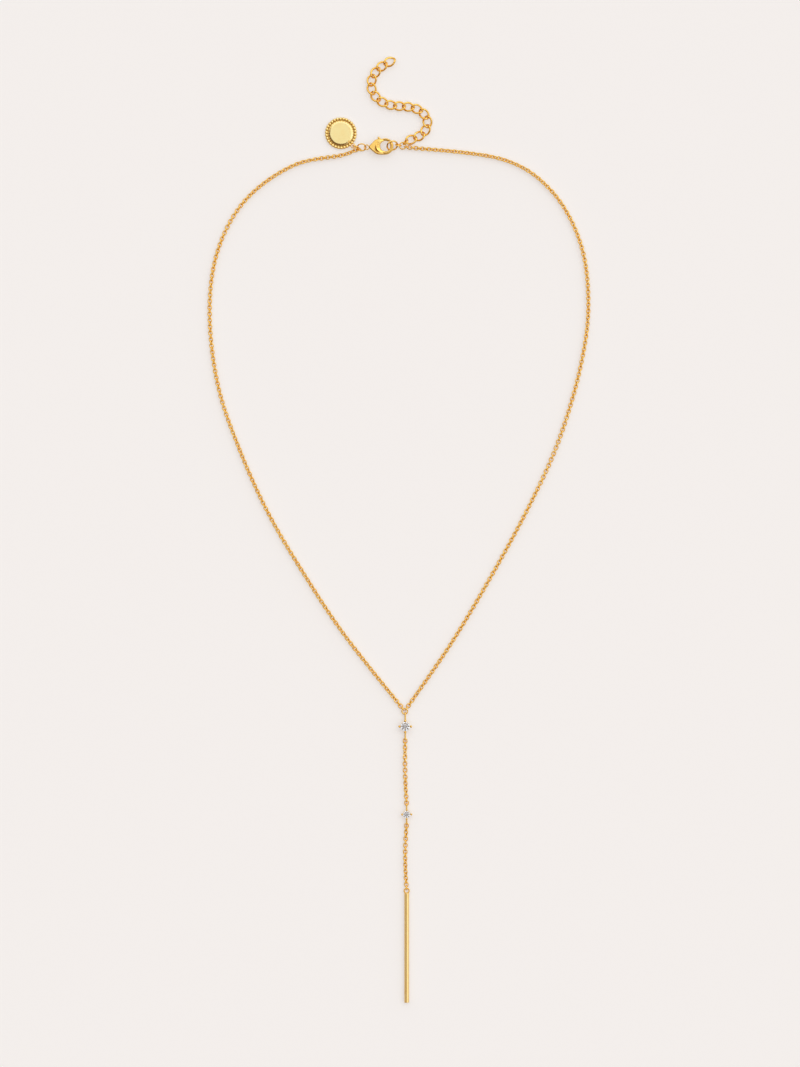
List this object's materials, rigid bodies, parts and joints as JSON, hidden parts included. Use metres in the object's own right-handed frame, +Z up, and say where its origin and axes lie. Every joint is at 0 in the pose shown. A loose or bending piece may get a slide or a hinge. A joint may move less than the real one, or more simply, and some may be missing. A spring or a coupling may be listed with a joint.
{
  "type": "y necklace",
  "caption": "Fine cable chain necklace with a drop of two prong-set round stones and a plain bar, a lobster clasp, an extender and a round tag, laid flat.",
  "frame": {"origin": "Centre of the bounding box at the surface that the necklace lies on", "axes": "+Z up from the surface; +Y from the lower end of the bar to the free end of the extender; +X to the right as seen from above"},
  "size_m": [0.1172, 0.2896, 0.0026],
  "materials": {
    "gold": "polished gold plating",
    "pale_gold": "pale gold, finely brushed with a polished beaded rim",
    "stone": "clear, faceted and polished"
  },
  "bodies": {
    "necklace": {"chain_left": "gold", "chain_right": "gold", "y_ring": "gold", "upper_setting": "gold", "upper_stone": "stone", "drop_chain_upper": "gold", "lower_setting": "gold", "lower_stone": "stone", "drop_chain_lower": "gold", "bar": "gold", "clasp_body": "gold", "clasp_pin": "gold", "clasp_ring": "gold", "tag_ring": "gold", "hook_ring": "gold", "tag": "pale_gold", "hook_link": "gold", "end_ring": "gold", "extender_ring": "gold", "extender_link_01": "gold", "extender_link_02": "gold", "extender_link_03": "gold", "extender_link_04": "gold", "extender_link_05": "gold", "extender_link_06": "gold", "extender_link_07": "gold", "extender_link_08": "gold", "extender_link_09": "gold", "extender_link_10": "gold", "extender_link_11": "gold", "extender_link_12": "gold", "extender_link_13": "gold", "extender_link_14": "gold", "extender_link_15": "gold", "extender_link_16": "gold"},
    "lever": {"clasp_lever": "gold"}
  },
  "joints": [
    {"name": "lever_hinge", "type": "hinge", "parent": "necklace", "child": "lever", "pos_m": [-0.00644, 0.11814, 0.00133], "axis": [0, 0, -1], "range_deg": [0, 20], "stiffness_Nm_per_rad": 0.002, "springref_deg": -11.46}
  ]
}
